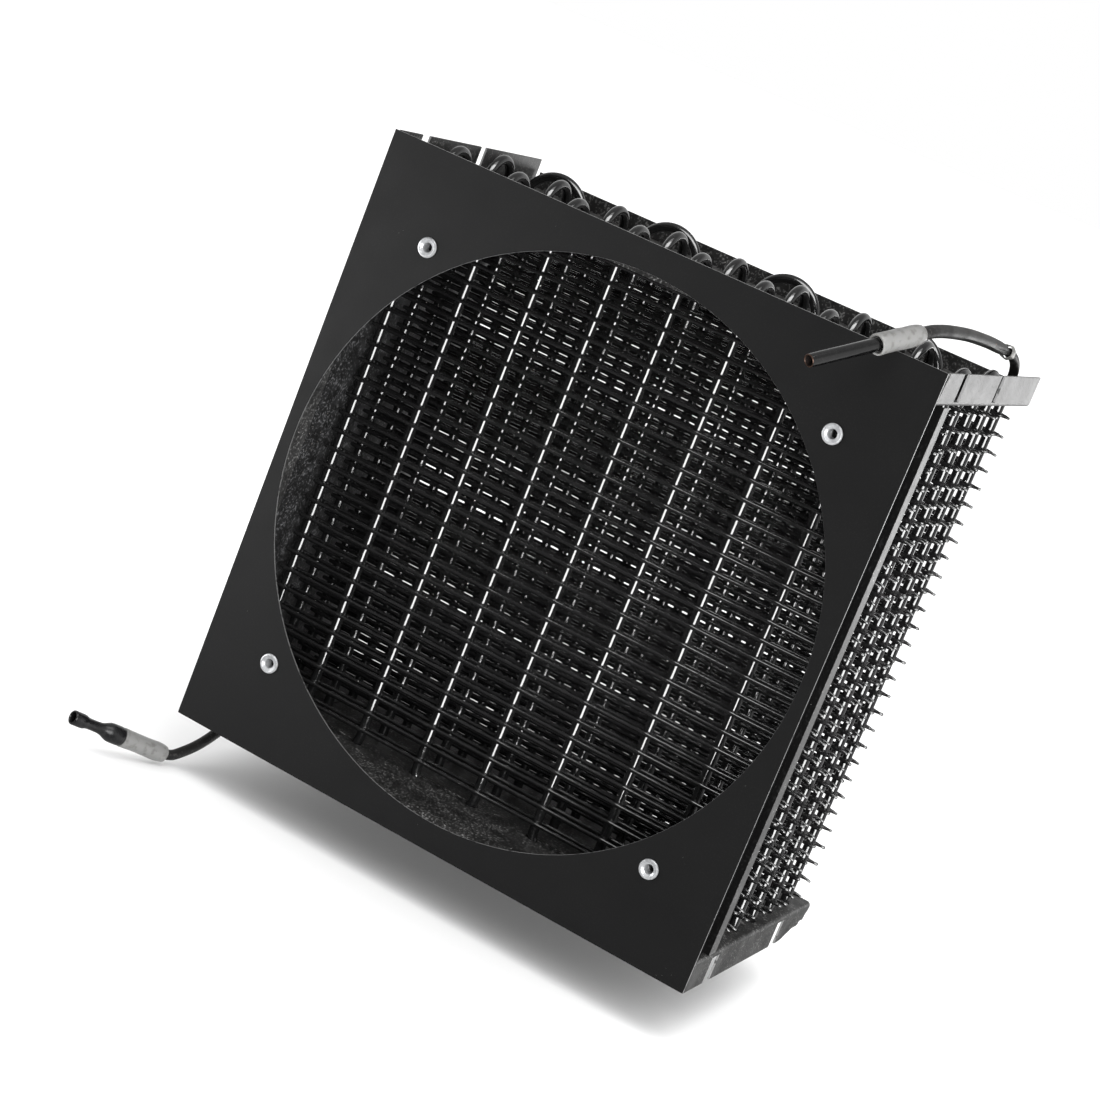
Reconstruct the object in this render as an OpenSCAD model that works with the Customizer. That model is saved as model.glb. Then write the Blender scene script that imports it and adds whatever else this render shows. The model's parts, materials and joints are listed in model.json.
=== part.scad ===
// Fan-cooled wire-on-tube condenser coil in a sheet-metal shroud.
// X runs to the right, Y from the fan side into the coil, Z up.
// The origin is the centre of the fan opening on the front face of the shroud plate.

/* [Shroud plate] */
// Width of the shroud plate
plate_w = 280; // [270:1:300]
// Height of the shroud plate
plate_h = 294; // [292:1:310]
// Thickness of the steel sheet
sheet_t = 1; // [0.8:0.1:1.2]
// Diameter of the fan opening
opening_d = 268; // [200:1:268]

/* [Fan fixing] */
// Distance between rivet nuts, across and up
nut_spacing = 208; // [204:1:214]
// Diameter of the rivet nut flange
nut_flange_d = 9.4; // [9:0.1:11]
// Diameter of the rivet nut body in the plate
nut_body_d = 7; // [6.5:0.1:7.5]
// Diameter of the countersunk mouth of the nut
nut_mouth_d = 5.6; // [5:0.1:5.8]
// Diameter of the threaded bore, M5 tapping size
nut_thread_d = 4.2; // [4:0.1:4.4]

/* [Channels] */
// Height of the web faces above and below the centre
web_z = 133; // [132:0.5:134]
// Depth of the channels behind the plate
channel_depth = 158; // [150:1:170]
// Height of the rear flange
rear_flange_h = 8; // [6:0.5:12]
// Inside radius of the sheet bends
bend_r = 1; // [0.5:0.1:1.5]

/* [Coil] */
// Outside diameter of the coil tube
tube_d = 4.76; // [4:0.01:5]
// Wall of the coil tube
tube_wall = 0.7; // [0.5:0.1:1]
// Distance between tube columns
column_pitch = 33; // [31:0.1:33]
// Distance between tube layers
layer_pitch = 24; // [23:0.1:26]
// Distance of the first layer behind the plate's front face
first_layer_y = 42.5; // [38:0.5:46]
// Diameter of the cross wires with their paint
wire_d = 1.8; // [1.2:0.1:1.9]
// Distance between cross wires
wire_pitch = 9; // [8.9:0.1:9]
// Length of the cross wires
wire_len = 275; // [270:1:276]

/* [Connections] */
// Outside diameter of the inlet pipe
inlet_d = 6; // [5.6:0.1:6.4]
// Outside diameter of the outlet pipe with its paint
outlet_d = 5.2; // [4.7:0.1:5.4]
// Outside diameter of the plastic sleeves
sleeve_d = 9.6; // [9:0.1:10]
// Length of the plastic sleeves
sleeve_len = 26; // [20:1:28]
// Length of bare inlet pipe beyond its sleeve
inlet_stub_len = 38; // [30:1:45]

/* [Hidden] */
$fn = 48;

columns = 9;
layers = 5;
wire_rows = 29;
// Height of each layer's wire rows above rows centred on the coil
row_shifts = [1.5, 2, 1.5, 0, -0.5];
wire_end_left = -136.5;
tiny = 0.01;
side_x = plate_w / 2;
tube_bore = tube_d - 2 * tube_wall;

// The runs turn over above and below the webs, and the cross-over bends stand inside them
fold_z = 132.5;
fold_r = layer_pitch / 2;
return_r = column_pitch / 2;
return_z = 127.5;
slot_w = tube_d + 1;

// Side rails: a recessed wall against the plate and a lip level with the plate's edge
rail_t = 0.8;
rail_recess = 2.8;
rail_step_y = 16.2;
rail_end_y = 24.4;
rail_half_h = web_z - sheet_t - 0.5;
rail_leg = 2.2;

// Open slots in the end flanges: distance from the front face, then width
top_slots = [[30, 8], [91, 6]];
bottom_slots = [[28.5, 9], [116, 8.5]];
slot_floor = 1.2;

// Directions in which the two pipe ends point
inlet_dir = unit([-0.369, -0.853, -0.362]);
outlet_dir = unit([-0.48, -0.849, 0.221]);

// Routes of the two connecting pipes, from the web outwards
riser_path = [[132, 138.5, 133], [132, 138.5, 142], [131.8, 137, 147.5], [131.5, 131.8, 151.5],
    [130.8, 125, 154], [130.3, 118, 155.2]];
inlet_path = [[130.3, 118, 155.2], [129.2, 102, 156.9], [128, 86, 158.4], [126, 60, 159.9],
    [124.2, 36, 160], [122.9, 21, 159.3], [121, 10, 157.4]];
outlet_path = [[-132, 42.5, -133], [-132, 42.5, -143], [-132, 40.5, -150], [-132.4, 34, -156.5],
    [-133.4, 22, -162.8], [-135.3, 10, -167.1], [-138.2, 0, -168.8]];

function unit(v) = v / norm(v);
function column_x(c) = (c - (columns + 1) / 2) * column_pitch;
function layer_y(k) = first_layer_y + (k - 1) * layer_pitch;

// Turns the Z axis to a direction
module along(direction) {
    flat = norm([direction[0], direction[1]]);
    rotate([0, atan2(flat, direction[2]), atan2(direction[1], direction[0])]) children();
}

// A round bar of diameter d between two points
module bar(from, to, d) {
    translate(from) along(to - from) cylinder(d = d, h = norm(to - from));
}

// A tube swept along points, closed at both ends
module sweep(points, d, sides = 16) {
    last = len(points) - 1;
    function heading(i) = unit(points[min(i + 1, last)] - points[max(i - 1, 0)]);
    side = [1, 0, 0];
    function ring(i) = let(
        ahead = heading(i),
        across = unit(side - (side * ahead) * ahead),
        up = cross(ahead, across))
        [for (s = [0 : sides - 1]) points[i] + d / 2 * (cos(s * 360 / sides) * across
            + sin(s * 360 / sides) * up)];
    rings = [for (i = [0 : last]) each ring(i)];
    walls = [for (i = [0 : last - 1], s = [0 : sides - 1])
        let(a = i * sides + s, b = i * sides + (s + 1) % sides)
        [a, a + sides, b + sides, b]];
    polyhedron(rings, concat(walls, [[for (s = [0 : sides - 1]) s]],
        [[for (s = [sides - 1 : -1 : 0]) last * sides + s]]));
}

// Points of a smooth curve through a route, with steps between each pair
function curve_point(p, i, t) = let(
    last = len(p) - 1,
    a = p[max(i - 1, 0)], b = p[i], c = p[i + 1], e = p[min(i + 2, last)])
    0.5 * (2 * b + (c - a) * t + (2 * a - 5 * b + 4 * c - e) * t * t + (3 * b - a - 3 * c + e) * t * t * t);
function smooth_route(p, steps) = concat(
    [for (i = [0 : len(p) - 2], s = [0 : steps - 1]) curve_point(p, i, s / steps)], [p[len(p) - 1]]);

// Half of a ring of tube or bar in the YZ plane, open side down
module half_turn(r, d, bore = 0) {
    rotate([90, 0, 90]) rotate_extrude(angle = 180) translate([r, 0]) difference() {
        circle(d = d);
        if (bore > 0) circle(d = bore);
    }
}

// A slot with round ends, along X by default
module slot_outline(length, width) {
    square([length - width, width], center = true);
    for (s = [-1, 1]) translate([s * (length - width) / 2, 0]) circle(d = width);
}

// A sheet bent through a right angle: legs along +X and +Y, outer corner at the origin
module bent_sheet(leg_x, leg_y, t) {
    r = bend_r + t;
    translate([r, 0]) square([leg_x - r, t]);
    translate([0, r]) square([t, leg_y - r]);
    intersection() {
        translate([r, r]) difference() {
            circle(r = r);
            circle(r = bend_r);
        }
        square(r);
    }
}

module nut_places() {
    for (sx = [-1, 1], sz = [-1, 1])
        translate([sx * nut_spacing / 2, 0, sz * nut_spacing / 2]) rotate([-90, 0, 0]) children();
}

module shroud_plate() {
    color([0.17, 0.17, 0.17]) difference() {
        translate([-side_x, 0, -plate_h / 2]) cube([plate_w, sheet_t, plate_h]);
        translate([0, -1, 0]) rotate([-90, 0, 0]) cylinder(d = opening_d, h = sheet_t + 2, $fn = 180);
        nut_places() translate([0, 0, -1]) cylinder(d = nut_body_d, h = sheet_t + 2);
    }
}

// Flange in front of the plate, body through it and the crimped collar behind it
module rivet_nuts() {
    flange_t = 1;
    body_len = 12;
    collar_d = 9.2;
    mouth_len = 0.7;
    color("silver") nut_places() difference() {
        union() {
            translate([0, 0, -flange_t]) cylinder(d1 = nut_flange_d - 0.8, d2 = nut_flange_d, h = flange_t);
            translate([0, 0, -tiny]) cylinder(d = nut_body_d, h = body_len);
            translate([0, 0, sheet_t]) cylinder(d = collar_d, h = 2.4);
        }
        translate([0, 0, -flange_t - tiny]) cylinder(d1 = nut_mouth_d, d2 = nut_thread_d, h = mouth_len);
        translate([0, 0, -flange_t - tiny]) cylinder(d = nut_thread_d, h = flange_t + body_len + 2 * tiny);
    }
}

// Section of the right-hand rail: foot on the plate, recessed wall, step out, lip with a hem
module rail_section() {
    wall_x = side_x - rail_recess;
    translate([wall_x - rail_leg, sheet_t]) square([rail_leg, rail_t]);
    translate([wall_x - rail_t, sheet_t]) square([rail_t, rail_step_y - sheet_t]);
    translate([wall_x - rail_t, rail_step_y]) square([rail_recess + rail_t, rail_t]);
    translate([side_x - rail_t, rail_step_y]) square([rail_t, rail_end_y - rail_step_y]);
}

module side_rail(side) {
    translate([0, 0, -rail_half_h]) linear_extrude(2 * rail_half_h) mirror([side < 0 ? 1 : 0, 0])
        rail_section();
}

module side_rail_left() { color([0.2, 0.2, 0.2]) side_rail(-1); }
module side_rail_right() { color([0.2, 0.2, 0.2]) side_rail(1); }

// Closing panel on the left, inside the rail's lip and between the webs
module side_panel_left() {
    panel_x = side_x - rail_t;
    front_y = rail_step_y + rail_t;
    color([0.16, 0.14, 0.13]) translate([-panel_x, front_y, -rail_half_h])
        cube([rail_t, channel_depth - sheet_t - front_y, 2 * rail_half_h]);
}

// Slots for the folded runs: two rows along the depth, middles of a pair of layers
module fold_slots(first) {
    for (c = [1 : columns], k = [first, first + 2])
        translate([column_x(c), layer_y(k) + layer_pitch / 2]) rotate(90)
            slot_outline(layer_pitch + slot_w, slot_w);
}

// Slots for the cross-over bends of one layer, and the hole for the pipe at its end
module return_slots(first, layer, pipe_column) {
    for (c = [first : 2 : first + 6])
        translate([column_x(c) + column_pitch / 2, layer_y(layer)]) slot_outline(column_pitch + slot_w, slot_w);
    translate([column_x(pipe_column), layer_y(layer)]) circle(d = slot_w);
}

// Tray with its flanges turned away from the coil; children() cut the web
module channel(flange_slots) {
    flange_h = plate_h / 2 - web_z;
    depth = channel_depth - sheet_t;
    corner = bend_r + sheet_t;
    // Web and end flanges
    translate([0, sheet_t, 0]) difference() {
        translate([0, depth, web_z - sheet_t]) rotate([90, 0, 0]) linear_extrude(depth) {
            for (m = [0, 1]) mirror([m, 0]) translate([side_x, 0]) mirror([1, 0])
                bent_sheet(side_x, flange_h + sheet_t, sheet_t);
        }
        translate([0, -sheet_t, web_z - sheet_t - 1]) linear_extrude(sheet_t + 2) children();
        for (s = flange_slots) translate([-side_x - 1, s[0] - sheet_t - s[1] / 2, web_z + slot_floor])
            cube([plate_w + 2, s[1], flange_h]);
    }
    // Front flange against the plate, and the lower rear flange
    translate([-side_x + corner + 1, sheet_t, web_z - tiny])
        cube([plate_w - 2 * corner - 2, sheet_t, flange_h - 1]);
    translate([-side_x + corner + 1, channel_depth - sheet_t, web_z - tiny])
        cube([plate_w - 2 * corner - 2, sheet_t, rear_flange_h]);
}

module top_channel() {
    color([0.2, 0.2, 0.2]) channel(top_slots) {
        fold_slots(1);
        return_slots(1, layers, columns);
    }
}

module bottom_channel() {
    color([0.2, 0.2, 0.2]) mirror([0, 0, 1]) channel(bottom_slots) {
        fold_slots(2);
        return_slots(2, 1, 1);
    }
}

// One column of tube, folded over between layers; over lengthens both ends past where they meet the
// bends or the pipes, for the bore
module run_shape(c, d, over = 0) {
    top_end = over + (c == columns ? web_z : return_z);
    bottom_end = over + (c == 1 ? web_z : return_z);
    translate([column_x(c), 0, 0]) {
        for (k = [1 : layers]) {
            low = k == 1 ? bottom_end : fold_z;
            high = k == layers ? top_end : fold_z;
            translate([0, layer_y(k), -low]) cylinder(d = d, h = low + high);
        }
        for (k = [1 : layers - 1]) {
            up = k % 2 == 1 ? 1 : -1;
            translate([0, layer_y(k) + fold_r, up * fold_z]) mirror([0, 0, up > 0 ? 0 : 1])
                half_turn(fold_r, d);
        }
    }
}

module tube_run(c) {
    color([0.08, 0.08, 0.08]) difference() {
        run_shape(c, tube_d);
        run_shape(c, tube_bore, 1);
    }
}

module tube_run_1() { tube_run(1); }
module tube_run_2() { tube_run(2); }
module tube_run_3() { tube_run(3); }
module tube_run_4() { tube_run(4); }
module tube_run_5() { tube_run(5); }
module tube_run_6() { tube_run(6); }
module tube_run_7() { tube_run(7); }
module tube_run_8() { tube_run(8); }
module tube_run_9() { tube_run(9); }

// Cross-over bends between neighbouring columns of one layer
module return_bends(first, layer) {
    for (c = [first : 2 : first + 6])
        translate([column_x(c) + column_pitch / 2, layer_y(layer), return_z]) rotate([0, 0, 90])
            half_turn(return_r, tube_d, tube_bore);
}

module return_bends_top() { color([0.08, 0.08, 0.08]) return_bends(1, layers); }
module return_bends_bottom() { color([0.08, 0.08, 0.08]) mirror([0, 0, 1]) return_bends(2, 1); }

// Cross wires of one layer, welded in front of the tubes or behind them
module wires(layer, side) {
    gap = 0.02;
    wire_y = layer_y(layer) + side * ((tube_d + wire_d) / 2 + gap);
    color([0.1, 0.1, 0.1]) for (row = [1 : wire_rows])
        translate([wire_end_left, wire_y, (row - (wire_rows + 1) / 2) * wire_pitch + row_shifts[layer - 1]])
            rotate([0, 90, 0]) cylinder(d = wire_d, h = wire_len, $fn = 16);
}

module wires_layer_1_front() { wires(1, -1); }
module wires_layer_1_rear() { wires(1, 1); }
module wires_layer_2_front() { wires(2, -1); }
module wires_layer_2_rear() { wires(2, 1); }
module wires_layer_3_front() { wires(3, -1); }
module wires_layer_3_rear() { wires(3, 1); }
module wires_layer_4_front() { wires(4, -1); }
module wires_layer_4_rear() { wires(4, 1); }
module wires_layer_5_front() { wires(5, -1); }
module wires_layer_5_rear() { wires(5, 1); }

module inlet_riser() { color([0.08, 0.08, 0.08]) sweep(smooth_route(riser_path, 4), tube_d); }

// Silver-soldered joint where the thin riser enters the wider pipe
module inlet_braze_ring() {
    ring_len = 5;
    ring_d = 7;
    start = inlet_path[0];
    ahead = unit(inlet_path[1] - start);
    color("silver") difference() {
        translate(start - ahead * ring_len / 2) along(ahead) cylinder(d = ring_d, h = ring_len);
        translate(start - ahead * ring_len) along(ahead) cylinder(d = inlet_d + 0.1, h = 2 * ring_len);
    }
}

inlet_bend = inlet_path[len(inlet_path) - 1];
inlet_sleeve_start = inlet_bend + inlet_dir * 2;
inlet_stub_start = inlet_sleeve_start + inlet_dir * sleeve_len;
inlet_tip = inlet_stub_start + inlet_dir * inlet_stub_len;
inlet_bore = 4.4;

// The curved length, which runs through the sleeve
module inlet_pipe() {
    color([0.08, 0.08, 0.08])
        sweep(smooth_route(concat(inlet_path, [inlet_stub_start]), 3), inlet_d);
}

// The straight end of the pipe with its open mouth
module inlet_stub() {
    closed_len = 3;
    color([0.08, 0.08, 0.08]) difference() {
        bar(inlet_stub_start, inlet_tip, inlet_d);
        bar(inlet_stub_start + inlet_dir * closed_len, inlet_tip + inlet_dir, inlet_bore);
    }
}

module sleeve(start, direction, bore) {
    color([0.7, 0.69, 0.66]) difference() {
        bar(start, start + direction * sleeve_len, sleeve_d);
        bar(start - direction, start + direction * (sleeve_len + 1), bore);
    }
}

sleeve_bore = 7.6;
outlet_bend = outlet_path[len(outlet_path) - 1];
outlet_sleeve_start = outlet_bend + outlet_dir * 1;
nozzle_start = outlet_sleeve_start + outlet_dir * (sleeve_len - 6);

module inlet_sleeve() { sleeve(inlet_sleeve_start, inlet_dir, sleeve_bore); }

module outlet_pipe() {
    color([0.08, 0.08, 0.08]) sweep(smooth_route(concat(outlet_path, [nozzle_start]), 3), outlet_d);
}

module outlet_sleeve() { sleeve(outlet_sleeve_start, outlet_dir, sleeve_bore); }

// Stepped end: plug in the sleeve, collar, cone, neck and a swaged socket
module outlet_nozzle() {
    color([0.07, 0.07, 0.07]) translate(nozzle_start) along(outlet_dir) rotate_extrude()
        polygon([[0, 0], [3.7, 0], [3.7, 6.1], [4.5, 6.1], [4.7, 8], [4.7, 13], [4.2, 15.5], [2.7, 19],
            [2.7, 27], [3.5, 28.5], [3.5, 35], [2.6, 35], [2.6, 28], [1.7, 27], [1.7, 8], [0, 8]]);
}

shroud_plate();
rivet_nuts();
side_rail_left();
side_rail_right();
side_panel_left();
top_channel();
bottom_channel();
tube_run_1();
tube_run_2();
tube_run_3();
tube_run_4();
tube_run_5();
tube_run_6();
tube_run_7();
tube_run_8();
tube_run_9();
return_bends_top();
return_bends_bottom();
wires_layer_1_front();
wires_layer_1_rear();
wires_layer_2_front();
wires_layer_2_rear();
wires_layer_3_front();
wires_layer_3_rear();
wires_layer_4_front();
wires_layer_4_rear();
wires_layer_5_front();
wires_layer_5_rear();
inlet_riser();
inlet_braze_ring();
inlet_pipe();
inlet_stub();
inlet_sleeve();
outlet_pipe();
outlet_sleeve();
outlet_nozzle();
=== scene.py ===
import json
import math
import random

import bpy
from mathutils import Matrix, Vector

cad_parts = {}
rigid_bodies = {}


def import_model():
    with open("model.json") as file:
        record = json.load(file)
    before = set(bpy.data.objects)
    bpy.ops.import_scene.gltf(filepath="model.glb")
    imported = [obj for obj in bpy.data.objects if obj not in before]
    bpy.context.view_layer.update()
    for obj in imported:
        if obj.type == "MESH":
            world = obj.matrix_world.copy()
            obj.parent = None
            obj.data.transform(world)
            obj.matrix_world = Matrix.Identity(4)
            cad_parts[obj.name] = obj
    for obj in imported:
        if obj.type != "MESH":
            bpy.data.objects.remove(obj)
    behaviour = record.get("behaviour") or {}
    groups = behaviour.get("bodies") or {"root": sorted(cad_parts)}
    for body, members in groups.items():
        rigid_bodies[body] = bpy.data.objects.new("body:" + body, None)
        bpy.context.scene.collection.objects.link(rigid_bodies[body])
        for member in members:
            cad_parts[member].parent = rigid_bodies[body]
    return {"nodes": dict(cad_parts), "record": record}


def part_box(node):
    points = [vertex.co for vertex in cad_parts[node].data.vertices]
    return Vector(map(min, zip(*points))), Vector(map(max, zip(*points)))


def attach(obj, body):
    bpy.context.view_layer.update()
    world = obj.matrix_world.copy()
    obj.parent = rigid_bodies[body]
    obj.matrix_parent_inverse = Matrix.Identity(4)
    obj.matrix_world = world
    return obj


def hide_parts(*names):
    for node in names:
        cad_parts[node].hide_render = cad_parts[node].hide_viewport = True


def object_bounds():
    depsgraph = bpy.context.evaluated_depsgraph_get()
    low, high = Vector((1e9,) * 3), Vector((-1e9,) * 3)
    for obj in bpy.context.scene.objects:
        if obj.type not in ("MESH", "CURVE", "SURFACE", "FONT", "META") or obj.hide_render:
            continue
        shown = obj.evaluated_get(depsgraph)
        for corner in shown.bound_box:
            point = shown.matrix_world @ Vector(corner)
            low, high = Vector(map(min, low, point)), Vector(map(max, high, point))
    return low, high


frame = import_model()
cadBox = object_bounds()
nodes = frame["nodes"]
mm = 0.001
draws = random.Random(7)


# camera, floor and lights

cameraView = {
    "location": (0.421, -1.070, 0.2526),
    "rotation": (76.893, -21.342, 26.086),  # degrees
    "lens": 86.86,
}

floorPiece = {"size": 30.0, "colour": (0.9, 0.9, 0.9), "roughness": 0.8, "gap": 0.5 * mm}

lights = {  # size is width and height in metres; "on" limits what a lamp lights
    "tubeStrip": {"place": (0.50, -0.62, -0.17), "size": (0.6, 1.0), "power": 48.0, "on": "enamel"},
    "wireTop": {"place": (0.30, -0.55, 1.15), "size": (1.4, 0.6), "power": 34.0, "on": "enamel"},
    "plateLeft": {"place": (-0.58, -0.38, -0.08), "size": (0.3, 0.3), "power": 2.9, "on": "plate"},
    "sideSoft": {"place": (0.52, -0.66, 0.1), "size": (0.4, 0.6), "power": 9.0, "on": "rest"},
    "topSoft": {"place": (0.35, -0.35, 1.3), "size": (0.9, 0.9), "power": 9.0},
    "rearRight": {"place": (0.52, 1.05, -0.02), "size": (0.5, 0.3), "power": 1.9},
}
lightAim = Vector((0, 0.05, 0))  # the middle of the coil
floorLight = {"strength": 3.1, "angle": 170.0}  # a wide soft sun that lights the floor alone

worldLight = {  # dim in front and overhead so that black enamel stays black
    "bright": 0.9, "front": 0.04, "top": 0.45, "shown": 1.0, "frontFrom": 0.0, "frontTo": 0.4, "bandFrom": 0.35,
    "bandTo": 0.75,
}


def addCamera():
    bpy.ops.object.camera_add(location=cameraView["location"])
    cam = bpy.context.object
    cam.name = "viewCamera"
    cam.rotation_euler = [math.radians(a) for a in cameraView["rotation"]]
    cam.data.lens = cameraView["lens"]
    cam.data.sensor_width = 36
    bpy.context.scene.camera = cam


def addFloor():
    height = cadBox[0].z - floorPiece["gap"]
    bpy.ops.mesh.primitive_plane_add(size=floorPiece["size"], location=(0, 0, height))
    floor = bpy.context.object
    floor.name = "floor"
    mat = bpy.data.materials.new("paleFloor")
    mat.use_nodes = True
    shader = mat.node_tree.nodes["Principled BSDF"]
    shader.inputs["Base Color"].default_value = (*floorPiece["colour"], 1)
    shader.inputs["Roughness"].default_value = floorPiece["roughness"]
    floor.data.materials.append(mat)
    floor.visible_glossy = False  # the enamel mirrors the dim room instead


def addLights():
    for name, values in lights.items():
        place = Vector(values["place"])
        bpy.ops.object.light_add(type="AREA", location=place)
        lamp = bpy.context.object
        lamp.name = name
        lamp.data.shape = "RECTANGLE"
        lamp.data.size, lamp.data.size_y = values["size"]
        lamp.data.energy = values["power"]
        lamp.rotation_mode = "QUATERNION"
        lamp.rotation_quaternion = (lightAim - place).to_track_quat("-Z", "Y")
        lamp.visible_camera = False
    bpy.ops.object.light_add(type="SUN", location=(0, 0, 2))
    sun = bpy.context.object
    sun.name = "floorSun"
    sun.data.energy = floorLight["strength"]
    sun.data.angle = math.radians(floorLight["angle"])
    receivers = bpy.data.collections.new("floorOnly")
    receivers.objects.link(bpy.data.objects["floor"])
    sun.light_linking.receiver_collection = receivers


def linkLights():
    # the enamelled coil, the plate and the rest have lamps of their own
    lit = {name: bpy.data.collections.new(name + "Lit") for name in ("enamel", "plate", "rest")}
    for piece in bpy.data.objects:
        if piece.type == "MESH" and piece.name != "floor":
            if piece.name.startswith(("wires", "tube_run", "return_bends")):
                lit["enamel"].objects.link(piece)
            else:
                if piece.name in ("shroudPlate", "rivetNuts"):
                    lit["plate"].objects.link(piece)
                if piece.name != "shroudPlate":
                    lit["rest"].objects.link(piece)
    for name, values in lights.items():
        if "on" in values:
            bpy.data.objects[name].light_linking.receiver_collection = lit[values["on"]]


def addWorld():
    world = bpy.data.worlds.new("softWorld")
    bpy.context.scene.world = world
    world.use_nodes = True
    tree = world.node_tree
    way = tree.nodes.new("ShaderNodeSeparateXYZ")
    tree.links.new(tree.nodes.new("ShaderNodeTexCoord").outputs["Generated"], way.inputs[0])
    front = rampNode(tree, mathNode(tree, "MULTIPLY", way.outputs["Y"], -1.0), worldLight["frontFrom"],
                     worldLight["frontTo"])
    steep = rampNode(tree, mathNode(tree, "ABSOLUTE", way.outputs["Z"], 0.0), worldLight["bandFrom"],
                     worldLight["bandTo"])
    level = mathNode(tree, "MULTIPLY", mathNode(tree, "SUBTRACT", 1.0, front), mathNode(tree, "SUBTRACT", 1.0, steep))
    sides = mathNode(tree, "MULTIPLY", level, worldLight["bright"])
    top = mathNode(tree, "MULTIPLY", steep, worldLight["top"])
    strength = mathNode(tree, "ADD", mathNode(tree, "ADD", sides, top), worldLight["front"])
    light = tree.nodes["Background"]
    light.inputs["Color"].default_value = (1, 1, 1, 1)
    tree.links.new(strength, light.inputs["Strength"])
    shown = tree.nodes.new("ShaderNodeBackground")
    shown.inputs["Color"].default_value = (1, 1, 1, 1)
    shown.inputs["Strength"].default_value = worldLight["shown"]
    path = tree.nodes.new("ShaderNodeLightPath")
    mix = tree.nodes.new("ShaderNodeMixShader")
    tree.links.new(path.outputs["Is Camera Ray"], mix.inputs["Fac"])
    tree.links.new(light.outputs[0], mix.inputs[1])
    tree.links.new(shown.outputs[0], mix.inputs[2])
    tree.links.new(mix.outputs[0], tree.nodes["World Output"].inputs["Surface"])


# shared shader groups

def newGroup(name, inputs, outputs):
    group = bpy.data.node_groups.new(name, "ShaderNodeTree")
    for socketName, value in inputs.items():
        socket = group.interface.new_socket(socketName, in_out="INPUT", socket_type="NodeSocketFloat")
        socket.default_value = value
    for socketName in outputs:
        group.interface.new_socket(socketName, in_out="OUTPUT", socket_type="NodeSocketFloat")
    return group, group.nodes.new("NodeGroupInput"), group.nodes.new("NodeGroupOutput")


def mathNode(tree, operation, first, second, clamp=False):
    node = tree.nodes.new("ShaderNodeMath")
    node.operation = operation
    node.use_clamp = clamp
    for socket, value in zip(node.inputs, (first, second)):
        if isinstance(value, (int, float)):
            socket.default_value = value
        else:
            tree.links.new(value, socket)
    return node.outputs[0]


def noiseNode(tree, coordinates, scale, detail=3.0):
    node = tree.nodes.new("ShaderNodeTexNoise")
    node.inputs["Detail"].default_value = detail
    tree.links.new(coordinates, node.inputs["Vector"])
    if isinstance(scale, (int, float)):
        node.inputs["Scale"].default_value = scale
    else:
        tree.links.new(scale, node.inputs["Scale"])
    return node.outputs["Fac"]


def rampNode(tree, value, low, high):
    node = tree.nodes.new("ShaderNodeMapRange")
    node.interpolation_type = "SMOOTHSTEP"
    node.inputs["From Min"].default_value = low
    node.inputs["From Max"].default_value = high
    tree.links.new(value, node.inputs["Value"])
    return node.outputs["Result"]


def makePaintRipple():
    # the slow waves and fine orange peel of sprayed enamel
    group, given, result = newGroup("paintRipple", {"Peel Scale": 900.0, "Wave Share": 0.5}, ["Height", "Gloss"])
    place = group.nodes.new("ShaderNodeTexCoord").outputs["Object"]
    peel = noiseNode(group, place, given.outputs["Peel Scale"], 2.0)
    wave = noiseNode(group, place, 130.0, 1.5)
    waves = mathNode(group, "MULTIPLY", wave, given.outputs["Wave Share"])
    group.links.new(mathNode(group, "ADD", peel, waves), result.inputs["Height"])
    group.links.new(noiseNode(group, place, 55.0, 4.0), result.inputs["Gloss"])
    return group


def makeDustFilm():
    # dust lies on upward faces and gathers in patches, with lint specks
    group, given, result = newGroup(
        "dustFilm", {"Amount": 0.3, "Upward": 0.5, "Patch Scale": 40.0, "Lint Scale": 700.0}, ["Mask"])
    place = group.nodes.new("ShaderNodeTexCoord").outputs["Object"]
    facing = group.nodes.new("ShaderNodeSeparateXYZ")
    group.links.new(group.nodes.new("ShaderNodeNewGeometry").outputs["Normal"], facing.inputs[0])
    upward = mathNode(group, "MULTIPLY", facing.outputs["Z"], given.outputs["Upward"])
    patch = rampNode(group, noiseNode(group, place, given.outputs["Patch Scale"], 5.0), 0.35, 0.75)
    speck = rampNode(group, noiseNode(group, place, given.outputs["Lint Scale"], 3.0), 0.53, 0.66)
    lint = mathNode(group, "MULTIPLY", speck, mathNode(group, "ADD", patch, 0.5))
    film = mathNode(group, "ADD", mathNode(group, "MULTIPLY", patch, 0.15), upward)
    specks = mathNode(group, "ADD", film, lint)
    mask = mathNode(group, "MULTIPLY", specks, given.outputs["Amount"], clamp=True)
    group.links.new(mask, result.inputs["Mask"])
    return group


def makePaintChips():
    # small spots where the paint has come away
    group, given, result = newGroup(
        "paintChips", {"Scale": 260.0, "Size": 0.12, "Cluster Scale": 30.0, "Cluster": 0.62}, ["Mask"])
    place = group.nodes.new("ShaderNodeTexCoord").outputs["Object"]
    cells = group.nodes.new("ShaderNodeTexVoronoi")
    group.links.new(place, cells.inputs["Vector"])
    group.links.new(given.outputs["Scale"], cells.inputs["Scale"])
    inside = mathNode(group, "LESS_THAN", cells.outputs["Distance"], given.outputs["Size"])
    cluster = noiseNode(group, place, given.outputs["Cluster Scale"], 2.0)
    near = mathNode(group, "GREATER_THAN", cluster, given.outputs["Cluster"])
    group.links.new(mathNode(group, "MULTIPLY", inside, near), result.inputs["Mask"])
    return group


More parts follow.
